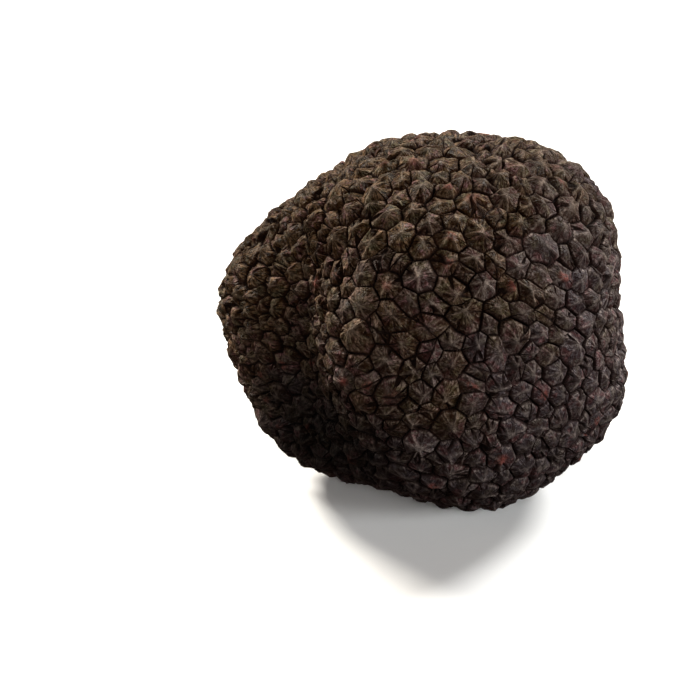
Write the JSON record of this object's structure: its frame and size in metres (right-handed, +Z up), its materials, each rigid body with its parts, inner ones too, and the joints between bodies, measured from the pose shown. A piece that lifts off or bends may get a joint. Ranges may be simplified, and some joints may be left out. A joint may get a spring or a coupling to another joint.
{
  "type": "black truffle",
  "caption": "Whole black truffle: a lumpy round fruit body covered all over in low pyramidal warts with narrow grooves, resting on a small flat spot.",
  "frame": {"origin": "on the resting surface, under the middle of the truffle's outline seen from above", "axes": "+Z up; +X to the right and along the truffle's width, seen from the front; the front, with the shallow valley at its left, faces -Y"},
  "size_m": [0.0676, 0.0613, 0.0584],
  "materials": {
    "rind": "matt, blackish brown, dry and finely cracked"
  },
  "bodies": {
    "root": {"truffle": "rind"}
  },
  "joints": []
}
